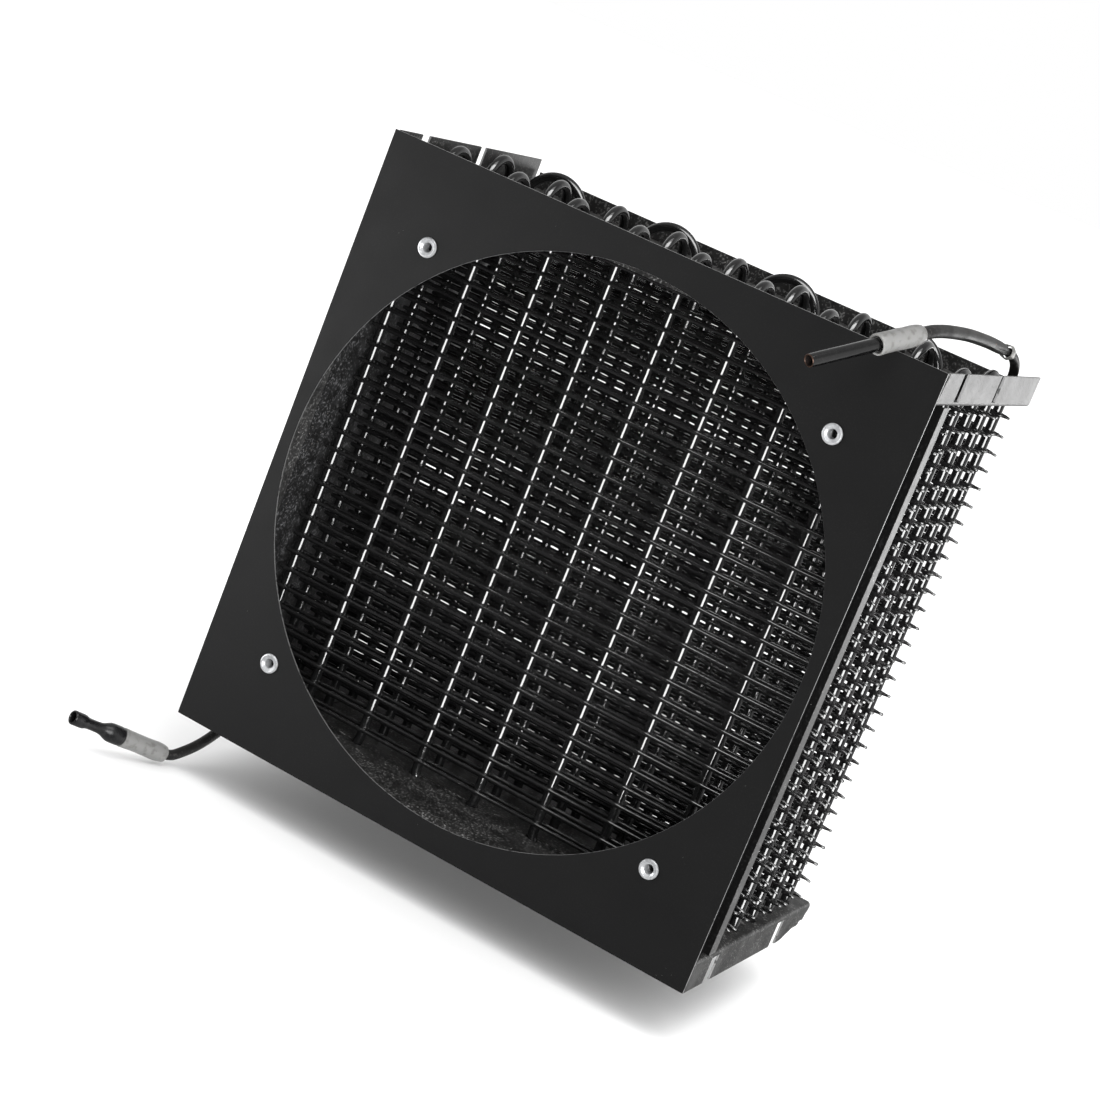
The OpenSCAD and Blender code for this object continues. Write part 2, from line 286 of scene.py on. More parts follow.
def makeBrushedGrain():
    # fine turning or drawing marks round the axis of a part
    group, given, result = newGroup("brushedGrain", {"Scale": 300.0, "Stretch": 12.0}, ["Height", "Tone"])
    place = group.nodes.new("ShaderNodeTexCoord").outputs["Object"]
    grain = noiseNode(group, place, given.outputs["Scale"], 4.0)
    mark = noiseNode(group, place, mathNode(group, "MULTIPLY", given.outputs["Scale"], 0.15), 3.0)
    group.links.new(mathNode(group, "MULTIPLY", grain, given.outputs["Stretch"]), result.inputs["Height"])
    group.links.new(mathNode(group, "ADD", mathNode(group, "MULTIPLY", mark, 0.6),
                             mathNode(group, "MULTIPLY", grain, 0.4)), result.inputs["Tone"])
    return group


bpy.ops.object.select_all(action="DESELECT")
addCamera()
addFloor()
addLights()
addWorld()
bpy.context.scene.view_settings.view_transform = "Standard"
print("camera, floor and lights are in place")

groups = {
    "ripple": makePaintRipple(),
    "dust": makeDustFilm(),
    "chips": makePaintChips(),
    "grain": makeBrushedGrain(),
}


# finishes

paints = {
    "shroudPaint": {
        "colour": (0.0115, 0.0115, 0.0118), "sheen": 0.24, "roughness": (0.50, 0.6), "peel": 1100.0,
        "waves": 0.15, "bump": 0.05,
        "dust": (0.05, 0.0, 25.0, 1200.0), "dustColour": (0.08, 0.08, 0.078), "chips": (500.0, 0.05, 30.0, 0.66),
        "chipColour": (0.30, 0.30, 0.29)},
    # a lighter grey for cut edges: painted edge highlight
    "edgeHighlight": {
        "colour": (0.25, 0.25, 0.25), "sheen": 0.5, "roughness": (0.25, 0.4), "peel": 900.0, "waves": 1.0,
        "bump": 0.1,
        "dust": (0.2, 0.2, 60.0, 600.0), "dustColour": (0.35, 0.35, 0.35), "chips": (300.0, 0.3, 40.0, 0.45),
        "chipColour": (0.08, 0.08, 0.08)},
    "framePaint": {
        "colour": (0.0095, 0.0092, 0.009), "sheen": 0.5, "roughness": (0.37, 0.43), "peel": 900.0,
        "waves": 0.2, "bump": 0.1,
        "dust": (0.8, 0.05, 90.0, 900.0), "dustColour": (0.19, 0.188, 0.185), "chips": (330.0, 0.10, 45.0, 0.60),
        "chipColour": (0.45, 0.44, 0.42)},
    # a darker copy of framePaint for the lower channel: painted shade, with a stronger bump for mottling
    "lowerShadedPaint": {
        "colour": (0.007, 0.0068, 0.0066), "sheen": 0.3, "roughness": (0.4, 0.7), "peel": 520.0, "waves": 1.0,
        "bump": 0.5,
        "dust": (0.8, 0.0, 90.0, 850.0), "dustColour": (0.17, 0.168, 0.165), "chips": (330.0, 0.10, 45.0, 0.60),
        "chipColour": (0.45, 0.44, 0.42)},
    "panelPaint": {
        "colour": (0.005, 0.005, 0.005), "sheen": 0.3, "roughness": (0.45, 0.75), "peel": 500.0, "waves": 1.0,
        "bump": 0.4,
        "dust": (0.7, 0.0, 140.0, 950.0), "dustColour": (0.16, 0.16, 0.165), "chips": (420.0, 0.10, 60.0, 0.56),
        "chipColour": (0.30, 0.27, 0.24)},
    # near-black paint for the recess behind the right rail's lip: painted shade
    "recessShadePaint": {
        "colour": (0.002, 0.002, 0.002), "sheen": 0.08, "roughness": (0.6, 0.8), "peel": 500.0, "waves": 1.0,
        "bump": 0.2,
        "dust": (0.15, 0.0, 90.0, 700.0), "dustColour": (0.04, 0.04, 0.04), "chips": (420.0, 0.06, 60.0, 0.66),
        "chipColour": (0.2, 0.2, 0.19)},
    "coilPaint": {
        "colour": (0.003, 0.003, 0.0031), "sheen": 0.5, "roughness": (0.07, 0.2), "peel": 420.0, "waves": 2.2,
        "bump": 0.26,
        "dust": (0.07, 0.3, 90.0, 800.0), "dustColour": (0.05, 0.048, 0.046), "chips": (380.0, 0.09, 70.0, 0.66),
        "chipColour": (0.55, 0.54, 0.52)},
    "pipePaint": {
        "colour": (0.006, 0.006, 0.006), "sheen": 0.25, "roughness": (0.34, 0.6), "peel": 380.0, "waves": 1.6,
        "bump": 0.25,
        "dust": (0.55, 0.2, 80.0, 700.0), "dustColour": (0.09, 0.087, 0.084), "chips": (330.0, 0.10, 60.0, 0.62),
        "chipColour": (0.30, 0.17, 0.11)},
    "nozzlePaint": {
        "colour": (0.005, 0.005, 0.0055), "sheen": 0.5, "roughness": (0.10, 0.36), "peel": 420.0, "waves": 2.2,
        "bump": 0.3,
        "dust": (0.12, 0.4, 90.0, 600.0), "dustColour": (0.09, 0.088, 0.09), "chips": (300.0, 0.08, 60.0, 0.68),
        "chipColour": (0.40, 0.38, 0.36)},
}


def newMaterial(name):
    mat = bpy.data.materials.new(name)
    mat.use_nodes = True
    return mat, mat.node_tree, mat.node_tree.nodes["Principled BSDF"]


def useGroup(tree, kind, **values):
    node = tree.nodes.new("ShaderNodeGroup")
    node.node_tree = groups[kind]
    for socketName, value in values.items():
        node.inputs[socketName.replace("_", " ")].default_value = value
    return node


def mixColours(tree, mask, below, above):
    node = tree.nodes.new("ShaderNodeMix")
    node.data_type = "RGBA"
    sockets = {"A": below, "B": above}
    for key, value in sockets.items():
        socket = [s for s in node.inputs if s.name == key and s.type == "RGBA"][0]
        if isinstance(value, tuple):
            socket.default_value = (*value, 1)
        else:
            tree.links.new(value, socket)
    tree.links.new(mask, node.inputs["Factor"])
    return [s for s in node.outputs if s.type == "RGBA"][0]


def bumpNode(tree, shader, height, strength, distance=0.2 * mm):
    node = tree.nodes.new("ShaderNodeBump")
    node.inputs["Strength"].default_value = strength
    node.inputs["Distance"].default_value = distance
    tree.links.new(height, node.inputs["Height"])
    tree.links.new(node.outputs["Normal"], shader.inputs["Normal"])


def makePaint(name, values):
    mat, tree, shader = newMaterial(name)
    ripple = useGroup(tree, "ripple", Peel_Scale=values["peel"], Wave_Share=values["waves"])
    amount, upward, patchScale, lintScale = values["dust"]
    dust = useGroup(tree, "dust", Amount=amount, Upward=upward, Patch_Scale=patchScale, Lint_Scale=lintScale)
    chipScale, chipSize, clusterScale, cluster = values["chips"]
    chips = useGroup(tree, "chips", Scale=chipScale, Size=chipSize, Cluster_Scale=clusterScale, Cluster=cluster)
    dusty = mixColours(tree, dust.outputs["Mask"], values["colour"], values["dustColour"])
    chipped = mixColours(tree, chips.outputs["Mask"], dusty, values["chipColour"])
    tree.links.new(chipped, shader.inputs["Base Color"])
    low, high = values["roughness"]
    gloss = tree.nodes.new("ShaderNodeMapRange")
    gloss.inputs["From Min"].default_value = 0.3
    gloss.inputs["From Max"].default_value = 0.7
    gloss.inputs["To Min"].default_value = low
    gloss.inputs["To Max"].default_value = high
    tree.links.new(ripple.outputs["Gloss"], gloss.inputs["Value"])
    dull = mathNode(tree, "MULTIPLY", dust.outputs["Mask"], 0.35)
    tree.links.new(mathNode(tree, "ADD", gloss.outputs["Result"], dull, clamp=True), shader.inputs["Roughness"])
    shader.inputs["Specular IOR Level"].default_value = values["sheen"]
    bumpNode(tree, shader, ripple.outputs["Height"], values["bump"])
    return mat


metals = {
    "zincPlate": {"colour": (0.60, 0.61, 0.62), "shade": (0.34, 0.345, 0.355), "metallic": 0.55, "roughness": 0.34,
                  "scale": 900.0, "bump": 0.05},
    "solderBead": {"colour": (0.42, 0.42, 0.40), "shade": (0.14, 0.135, 0.13),
                  "metallic": 0.6, "roughness": 0.5, "scale": 500.0, "bump": 0.35},
    "copperRim": {"colour": (0.13, 0.075, 0.055), "shade": (0.03, 0.018, 0.013),
                 "metallic": 0.8, "roughness": 0.4, "scale": 700.0, "bump": 0.2},
    # painted shade for the thread deep in the rivet nut's bore
    "threadShade": {"colour": (0.05, 0.05, 0.05), "shade": (0.01, 0.01, 0.01),
                  "metallic": 0.5, "roughness": 0.4, "scale": 900.0, "bump": 0.1},
    # painted shade for the inside of the inlet stub's bore
    "boreShade": {"colour": (0.02, 0.014, 0.012), "shade": (0.005, 0.004, 0.004),
                "metallic": 0.2, "roughness": 0.5, "scale": 500.0, "bump": 0.3},
}


def makeMetal(name, values):
    mat, tree, shader = newMaterial(name)
    grain = useGroup(tree, "grain", Scale=values["scale"])
    tone = rampNode(tree, grain.outputs["Tone"], 0.3, 0.7)
    tree.links.new(mixColours(tree, tone, values["shade"], values["colour"]), shader.inputs["Base Color"])
    shader.inputs["Metallic"].default_value = values["metallic"]
    rough = mathNode(tree, "ADD", mathNode(tree, "MULTIPLY", grain.outputs["Tone"], -0.2), values["roughness"] + 0.1)
    tree.links.new(rough, shader.inputs["Roughness"])
    bumpNode(tree, shader, grain.outputs["Height"], values["bump"], 0.02 * mm)
    return mat


sleeveFinish = {
    "colour": (0.225, 0.225, 0.22), "stain": (0.155, 0.152, 0.147), "roughness": 0.33, "scatter": 0.2,
    "depth": (1.5 * mm, 1.4 * mm, 1.2 * mm), "stainScale": 330.0, "creaseScale": 300.0, "bump": 0.5,
}


def makeSleevePlastic():
    mat, tree, shader = newMaterial("sleevePlastic")
    place = tree.nodes.new("ShaderNodeTexCoord").outputs["Object"]
    stain = rampNode(tree, noiseNode(tree, place, sleeveFinish["stainScale"], 5.0), 0.48, 0.7)
    stained = mixColours(tree, stain, sleeveFinish["colour"], sleeveFinish["stain"])
    tree.links.new(stained, shader.inputs["Base Color"])
    shader.inputs["Subsurface Weight"].default_value = sleeveFinish["scatter"]
    shader.inputs["Subsurface Radius"].default_value = sleeveFinish["depth"]
    shader.inputs["Subsurface Scale"].default_value = 1.0
    shader.inputs["Roughness"].default_value = sleeveFinish["roughness"]
    bumpNode(tree, shader, noiseNode(tree, place, sleeveFinish["creaseScale"], 3.0), sleeveFinish["bump"], 0.4 * mm)
    return mat


mats = {name: makePaint(name, values) for name, values in paints.items()}
mats.update({name: makeMetal(name, values) for name, values in metals.items()})
mats["sleevePlastic"] = makeSleevePlastic()
print("finishes are made")


# tools for modelling

def startOn(piece):
    bpy.ops.object.select_all(action="DESELECT")
    piece.select_set(True)
    bpy.context.view_layer.objects.active = piece


def copyNode(nodeName, name):
    # a merged copy of a frame node, to be shaped and to stand for it
    startOn(nodes[nodeName])
    bpy.ops.object.duplicate()
    piece = bpy.context.object
    piece.name = name
    for key in [k for k in piece.keys() if k.startswith("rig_")]:
        del piece[key]
    piece.data.materials.clear()
    bpy.ops.mesh.customdata_custom_splitnormals_clear()
    bpy.ops.object.mode_set(mode="EDIT")
    bpy.ops.mesh.select_all(action="SELECT")
    bpy.ops.mesh.remove_doubles(threshold=0.002 * mm)
    bpy.ops.mesh.dissolve_limited(angle_limit=math.radians(0.5))
    bpy.ops.object.mode_set(mode="OBJECT")
    return piece


def finishPiece(piece, material, slotName, *replaced, angle=35):
    startOn(piece)
    if angle:
        bpy.ops.object.shade_smooth_by_angle(angle=math.radians(angle))
    if not piece.data.materials:
        piece.data.materials.append(mats[material])
    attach(piece, "root")
    if replaced:
        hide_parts(*replaced)
    return piece


def bevelEdges(piece, width, segments=2, angle=40):
    startOn(piece)
    bevel = piece.modifiers.new("edgeRound", "BEVEL")
    bevel.width = width
    bevel.segments = segments
    bevel.limit_method = "ANGLE"
    bevel.angle_limit = math.radians(angle)
    bevel.use_clamp_overlap = True
    bpy.ops.object.modifier_apply(modifier=bevel.name)
    bpy.ops.object.shade_smooth_by_angle(angle=math.radians(35))
    weighted = piece.modifiers.new("flatFaces", "WEIGHTED_NORMAL")
    weighted.keep_sharp = True
    bpy.ops.object.modifier_apply(modifier=weighted.name)


def turnPiece(name, profile, sides=40, closed=False, capped=True):
    # a turned part on the Z axis: each point of the profile is a radius and a height
    radius, height = profile[0]
    bpy.ops.object.select_all(action="DESELECT")
    bpy.ops.mesh.primitive_circle_add(vertices=sides, radius=radius, location=(0, 0, 0),
                                      fill_type="NGON" if capped else "NOTHING")
    piece = bpy.context.object
    piece.name = name
    bpy.ops.object.mode_set(mode="EDIT")
    bpy.ops.mesh.select_all(action="SELECT")
    bpy.ops.transform.translate(value=(0, 0, height))
    for nextRadius, nextHeight in profile[1:]:
        bpy.ops.mesh.extrude_region_move(TRANSFORM_OT_translate={"value": (0, 0, nextHeight - height)})
        scale = nextRadius / radius
        bpy.ops.transform.resize(value=(scale, scale, 1))
        radius, height = nextRadius, nextHeight
    bpy.ops.mesh.select_all(action="SELECT")
    if closed:
        bpy.ops.mesh.remove_doubles(threshold=0.001 * mm)
    bpy.ops.mesh.normals_make_consistent(inside=False)
    bpy.ops.object.mode_set(mode="OBJECT")
    return piece


def placePiece(piece, start, direction):
    # turns the piece's Z axis to a direction and moves its origin to start, then puts that in the mesh
    startOn(piece)
    piece.rotation_mode = "QUATERNION"
    piece.rotation_quaternion = Vector(direction).to_track_quat("Z", "Y")
    piece.location = start
    bpy.ops.object.transform_apply(location=True, rotation=True, scale=True)


def joinPieces(pieces, name):
    bpy.ops.object.select_all(action="DESELECT")
    for piece in pieces:
        piece.select_set(True)
    bpy.context.view_layer.objects.active = pieces[0]
    bpy.ops.object.join()
    bpy.context.object.name = name
    return bpy.context.object


# sheet metal

sheetParts = {  # node: piece name, material, slot, edge radius
    "shroud_plate": ("shroudPlate", "shroudPaint", "shroud_paint", 0.22 * mm),
    "side_rail_left": ("sideRailLeft", "framePaint", "frame_paint", 0.15 * mm),
    "side_rail_right": ("sideRailRight", "framePaint", "frame_paint", 0.15 * mm),
    "side_panel_left": ("sidePanelLeft", "panelPaint", "panel_paint", 0.15 * mm),
    "top_channel": ("topChannel", "framePaint", "frame_paint", 0.14 * mm),
}


flangeTrim = {  # the upper end flanges: where they lie, and the gap they leave behind the plate
    "beyondX": 138.6 * mm, "beforeY": 1.3 * mm, "beyondZ": 134.5 * mm, "gap": 3.4 * mm,
}
flangeEdge = {"beyondX": 138.9 * mm, "beyondZ": 134 * mm, "facing": 0.7}  # the flanges' cut ends
plateEdge = {"facing": 0.8, "depth": 0.9 * mm}  # the plate's cut edges face less along Y than this
railRecess = {"within": 139.0 * mm, "depth": 15.8 * mm}  # the wall behind the rail's lip


def paintCutEdgeHighlights(piece):
    # a lighter colour on the cut edge of the plate and of its opening: painted highlight
    piece.data.materials.append(mats["shroudPaint"])
    piece.data.materials.append(mats["edgeHighlight"])
    for face in piece.data.polygons:
        if abs(face.normal.y) < plateEdge["facing"] and face.center.y < plateEdge["depth"]:
            face.material_index = 1


def trimEndFlanges(piece):
    # the end flanges stop short of the plate
    trim = flangeTrim
    for vertex in piece.data.vertices:
        x, y, z = vertex.co
        if abs(x) > trim["beyondX"] and y < trim["beforeY"] and abs(z) > trim["beyondZ"]:
            vertex.co.y += trim["gap"]


def paintFlangeEdgeHighlights(piece, material="framePaint"):
    # a lighter colour on the cut ends of the end flanges: painted edge highlight
    piece.data.materials.append(mats[material])
    piece.data.materials.append(mats["edgeHighlight"])
    for face in piece.data.polygons:
        atEnd = abs(face.center.x) > flangeEdge["beyondX"] and abs(face.center.z) > flangeEdge["beyondZ"]
        if atEnd and abs(face.normal.y) > flangeEdge["facing"]:
            face.material_index = 1


def paintRecessShade(piece):
    # the wall behind the lip gets a near-black colour: painted shade in the recess
    piece.data.materials.append(mats["framePaint"])
    piece.data.materials.append(mats["recessShadePaint"])
    for face in piece.data.polygons:
        if abs(face.center.x) < railRecess["within"] or face.center.y < railRecess["depth"]:
            face.material_index = 1


def makeSheetParts():
    for nodeName, (name, material, slotName, edge) in sheetParts.items():
        piece = copyNode(nodeName, name)
        if nodeName == "top_channel":
            trimEndFlanges(piece)
        bevelEdges(piece, edge)
        if nodeName == "shroud_plate":
            paintCutEdgeHighlights(piece)
        if nodeName == "top_channel":
            paintFlangeEdgeHighlights(piece)
        if nodeName == "side_rail_right":
            paintRecessShade(piece)
        finishPiece(piece, material, slotName, nodeName, angle=0)


crumple = {  # the knocked rear corner of the lower right end flange
    "start": 121 * mm, "lift": 0.4, "cuts": 18, "depth": 1.3 * mm,
}


slotShadeSheet = {"below": 0.6 * mm, "thickness": 0.2 * mm}  # a thin dark sheet just under the lower web closes its slots: painted shade where the floor would show through


def makeBottomChannel():
    piece = copyNode("bottom_channel", "bottomChannel")
    low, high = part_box("bottom_channel")
    startOn(piece)
    bpy.ops.object.mode_set(mode="EDIT")
    for cut in range(crumple["cuts"]):
        bpy.ops.mesh.select_all(action="SELECT")
        place = crumple["start"] + (high.y - crumple["start"]) * cut / crumple["cuts"]
        bpy.ops.mesh.bisect(plane_co=(0, place, 0), plane_no=(0, 1, 0))
    for share in (0.35, 0.6, 0.85):
        bpy.ops.mesh.select_all(action="SELECT")
        bpy.ops.mesh.bisect(plane_co=(0, 0, low.z * (1 - share) + high.z * share), plane_no=(0, 0, 1))
    bpy.ops.object.mode_set(mode="OBJECT")
    web = high.z - 2 * mm
    for vertex in piece.data.vertices:
        along = (vertex.co.y - crumple["start"]) / (high.y - crumple["start"])
        if vertex.co.x < high.x - 1.5 * mm or along <= 0:
            continue
        down = max(0.0, (web - vertex.co.z) / (web - low.z))
        ease = along * along * (3 - 2 * along)
        vertex.co.z += down * ease * crumple["lift"] * (web - low.z)
        fold = 0.5 + 0.3 * math.sin(along * 11 + down * 3) + 0.2 * math.sin(along * 23 - down * 7 + 1)
        vertex.co.x -= fold * down * ease * crumple["depth"]
    bevelEdges(piece, 0.14 * mm)
    bpy.ops.object.select_all(action="DESELECT")
    # a thin dark sheet across the slots of the web: painted shade
    bpy.ops.mesh.primitive_cube_add(size=1, location=(0, (low.y + high.y) / 2, high.z - slotShadeSheet["below"]))
    film = bpy.context.object
    bpy.ops.transform.resize(value=(high.x - low.x - 8 * mm, high.y - low.y - 8 * mm, slotShadeSheet["thickness"]))
    bpy.ops.object.transform_apply(location=True, rotation=True, scale=True)
    piece = joinPieces([piece, film], "bottomChannel")
    paintFlangeEdgeHighlights(piece, "lowerShadedPaint")
    finishPiece(piece, "lowerShadedPaint", "frame_paint", "bottom_channel", angle=0)


print("sheet metal")
makeSheetParts()
makeBottomChannel()


# rivet nuts

rivetNut = {
    "sides": 48, "threadFrom": 5.6 * mm, "threadPitch": 0.8 * mm, "threadCrest": 2.12 * mm, "threadRoot": 2.5 * mm,
    "mouth": 3.45 * mm, "coneDepth": 0.9 * mm, "bore": 2.2 * mm, "flange": 4.7 * mm, "flangeHeight": 1.0 * mm,
    "body": 3.48 * mm, "collar": 4.55 * mm, "length": 11.95 * mm, "spacing": 208 * mm,
}


def makeRivetNuts():
    nut = rivetNut
    profile = [  # from the mouth's lip outwards, back along the body and up the thread
        (nut["mouth"], -nut["flangeHeight"] + 0.18 * mm),
        (nut["mouth"] + 0.12 * mm, -nut["flangeHeight"] + 0.04 * mm),
        (nut["mouth"] + 0.35 * mm, -nut["flangeHeight"]), (nut["flange"] - 0.75 * mm, -nut["flangeHeight"]),
        (nut["flange"] - 0.35 * mm, -nut["flangeHeight"] + 0.12 * mm),
        (nut["flange"] - 0.05 * mm, -nut["flangeHeight"] + 0.5 * mm), (nut["flange"], -0.12 * mm),
        (nut["flange"] - 0.1 * mm, 0.0), (nut["body"], 0.0), (nut["body"], 1.0 * mm),
        (nut["collar"] - 0.3 * mm, 1.05 * mm), (nut["collar"], 1.8 * mm), (nut["collar"] - 0.1 * mm, 2.6 * mm),
        (nut["body"] + 0.3 * mm, 3.3 * mm), (nut["body"], 3.9 * mm), (nut["body"], nut["length"] - 0.4 * mm),
        (nut["body"] - 0.4 * mm, nut["length"])]
    height = nut["length"]
    while height > nut["threadFrom"] + nut["threadPitch"]:
        profile.append((nut["threadRoot"], height))
        profile.append((nut["threadCrest"], height - nut["threadPitch"] / 2))
        height -= nut["threadPitch"]
    cone = nut["coneDepth"] - nut["flangeHeight"]
    profile += [(nut["bore"], nut["threadFrom"]), (nut["bore"], cone + 0.25 * mm), (nut["bore"] + 0.12 * mm, cone),
                (nut["mouth"] - 0.2 * mm, -nut["flangeHeight"] + 0.3 * mm), profile[0]]
    model = turnPiece("rivetNut", profile, nut["sides"], closed=True, capped=False)
    model.data.materials.append(mats["zincPlate"])
    model.data.materials.append(mats["threadShade"])
    # faces deep in the bore take a dark colour: painted shade inside the thread
    for face in model.data.polygons:
        if face.center.z > nut["threadFrom"] and math.hypot(face.center.x, face.center.y) < nut["body"] - 0.5 * mm:
            face.material_index = 1
    pieces = []
    for right in (-0.5, 0.5):
        for up in (-0.5, 0.5):
            piece = model.copy()
            piece.data = model.data.copy()
            bpy.context.collection.objects.link(piece)
            placePiece(piece, (right * nut["spacing"], 0, up * nut["spacing"]), (0, 1, 0))
            pieces.append(piece)
    bpy.data.objects.remove(model)
    finishPiece(joinPieces(pieces, "rivetNuts"), "zincPlate", "zinc", "rivet_nuts", angle=30)


print("rivet nuts")
makeRivetNuts()


# coil

crossWire = {
    "sides": 10, "radius": 0.95 * mm, "weldRadius": 1.16 * mm, "weldHalf": 1.0 * mm, "weldEnd": 2.5 * mm,
    "bow": 0.14 * mm, "endSpread": 1.3 * mm, "endRadius": 0.66 * mm, "kinds": 8, "columns": 9, "pitch": 33 * mm,
    "rowPitch": 9 * mm, "rows": 29, "tilt": 0.15 * mm, "shorter": 1.9 * mm,
}


def modelWire(kind, left, right):
    # one wire along X with a bead of weld and paint at each tube, slightly bowed between them
    wire = crossWire
    stations = [(left + draws.uniform(0, wire["endSpread"]), 0.82), (left + 1.3 * mm, 1.0)]
    for column in range(wire["columns"]):
        middle = (column - (wire["columns"] - 1) / 2) * wire["pitch"]
        bead = wire["weldRadius"] / wire["radius"] * draws.uniform(0.94, 1.05)
        for offset, size in ((-wire["weldEnd"], 1.0), (-wire["weldHalf"], bead), (wire["weldHalf"], bead),
                             (wire["weldEnd"], 1.0)):
            stations.append((middle + offset, size))
    tip = right - draws.uniform(0, wire["endSpread"])
    thin = wire["endRadius"] / wire["radius"]
    stations += [(right - 3.4 * mm, draws.uniform(0.85, 0.95)), (right - 2.6 * mm, thin * draws.uniform(0.95, 1.15)),
                 (tip - 0.5 * mm, thin * draws.uniform(0.95, 1.3)), (tip, thin * draws.uniform(0.5, 0.9))]
    bpy.ops.object.select_all(action="DESELECT")
    bpy.ops.mesh.primitive_circle_add(vertices=wire["sides"], radius=wire["radius"], fill_type="NGON",
                                      rotation=(0, math.pi / 2, 0), location=(0, 0, 0))
    piece = bpy.context.object
    piece.name = "wireModel%d" % kind
    bpy.ops.object.transform_apply(location=True, rotation=True, scale=True)
    bpy.ops.object.mode_set(mode="EDIT")
    bpy.ops.mesh.select_all(action="SELECT")
    place, size = stations[0]
    bpy.ops.transform.resize(value=(1, size, size))
    bpy.ops.transform.translate(value=(place, 0, 0))
    for nextPlace, nextSize in stations[1:]:
        bpy.ops.mesh.extrude_region_move(TRANSFORM_OT_translate={"value": (nextPlace - place, 0, 0)})
        bpy.ops.transform.resize(value=(1, nextSize / size, nextSize / size))
        place, size = nextPlace, nextSize
    bpy.ops.mesh.select_all(action="SELECT")
    bpy.ops.mesh.normals_make_consistent(inside=False)
    bpy.ops.object.mode_set(mode="OBJECT")
    phase, rate, amount = draws.uniform(0, math.tau), draws.uniform(1.2, 2.6), draws.uniform(0.3, 1.0) * wire["bow"]
    droop = draws.uniform(-0.6, 0.6) * mm
    for vertex in piece.data.vertices:
        vertex.co.z += amount * math.sin(phase + rate * vertex.co.x / wire["pitch"] * 1.7)
        vertex.co.z += droop * max(0.0, (vertex.co.x - right + 3.4 * mm) / (3.4 * mm))
    return piece


def makeWires():
    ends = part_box("wires_layer_1_front")
    longWires = [modelWire(kind, ends[0].x, ends[1].x + 0.8 * mm) for kind in range(crossWire["kinds"])]
    shortWires = [modelWire(kind, ends[0].x, ends[1].x - crossWire["shorter"]) for kind in range(crossWire["kinds"])]
    for layer in range(1, 6):
        for side in ("front", "rear"):
            nodeName = "wires_layer_%d_%s" % (layer, side)
            low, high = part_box(nodeName)
            pieces = []
            for row in range(crossWire["rows"]):
                model = draws.choice(shortWires if layer == 5 and side == "front" else longWires)
                piece = model.copy()
                piece.data = model.data.copy()
                bpy.context.collection.objects.link(piece)
                height = (low.z + high.z) / 2 + (row - (crossWire["rows"] - 1) / 2) * crossWire["rowPitch"]
                piece.location = (0, (low.y + high.y) / 2, height + draws.uniform(-1, 1) * crossWire["tilt"])
                piece.rotation_euler = (0, draws.uniform(-1, 1) * crossWire["tilt"] / (137 * mm), 0)
                pieces.append(piece)
            joined = joinPieces(pieces, "wiresLayer%d%s" % (layer, side.capitalize()))
            bpy.ops.object.transform_apply(location=True, rotation=True, scale=True)
            finishPiece(joined, "coilPaint", "coil_paint", nodeName, angle=60)
    for model in longWires + shortWires:
        bpy.data.objects.remove(model)


print("cross wires")
makeWires()


def dressNodes():
    # frame nodes whose shape stays, with their finish
    for nodeName, node in nodes.items():
        if nodeName.startswith(("tube_run", "return_bends")):
            node.data.materials.clear()
            node.data.materials.append(mats["coilPaint"])


dressNodes()
print("coil tubes")


# connecting pipes

def smoothPipe(nodeName, name, material, slotName):
    # the plain swept tube with its sides rounded
    piece = copyNode(nodeName, name)
    startOn(piece)
    rounding = piece.modifiers.new("rounding", "SUBSURF")
    rounding.levels = rounding.render_levels = 2
    bpy.ops.object.modifier_apply(modifier=rounding.name)
    return finishPiece(piece, material, slotName, nodeName, angle=70)


def mountTip(mountName):
    # the direction of a round mount and the middle of its outer end
    mount = next(m for m in frame["record"]["mounts"] if m["name"] == mountName)
    way = Vector(mount["axis"]).normalized()
    return way, Vector(mount["pos_m"]) + way * mount["dims"]["length_mm"] / 2 * mm


inletWay, inletTip = mountTip("inlet_tube_end")
outletWay, outletTip = mountTip("outlet_socket")

pipeEnd = {"length": 38 * mm, "radius": 2.98 * mm, "bore": 2.2 * mm, "rim": 0.25 * mm, "boreDepth": 34 * mm}


def makeInletStub():
    end = pipeEnd
    profile = [(1.0 * mm, 0), (end["radius"], 0), (end["radius"] * 1.01, 6 * mm), (end["radius"] * 0.99, 17 * mm),
               (end["radius"], 30 * mm), (end["radius"] * 0.985, 35 * mm),
               (end["radius"] * 0.95, end["length"] - end["rim"]), (end["radius"] - 0.35 * mm, end["length"]),
               (end["bore"] + 0.2 * mm, end["length"]), (end["bore"], end["length"] - end["rim"]),
               (end["bore"], end["length"] - end["boreDepth"]),
               (0.4 * mm, end["length"] - end["boreDepth"] - 0.5 * mm)]
    piece = turnPiece("inletStub", profile, 48)
    piece.data.materials.append(mats["coilPaint"])
    piece.data.materials.append(mats["copperRim"])
    piece.data.materials.append(mats["boreShade"])
    # the rim is bare copper; the bore behind it takes a near-black colour, painted shade inside the pipe
    for face in piece.data.polygons:
        outward = math.hypot(face.center.x, face.center.y)
        if face.center.z > end["length"] - 0.6 * end["rim"]:
            face.material_index = 1
        elif outward < end["bore"] and face.center.z > 1 * mm:
            face.material_index = 2
    placePiece(piece, inletTip - inletWay * end["length"], inletWay)
    finishPiece(piece, None, "pipe_paint", "inlet_stub")


sleevePiece = {
    "length": 26 * mm, "radius": 4.78 * mm, "bore": 3.82 * mm, "lip": 0.35 * mm, "dents": 0.3 * mm,
    "drawnIn": 0.8 * mm,
}


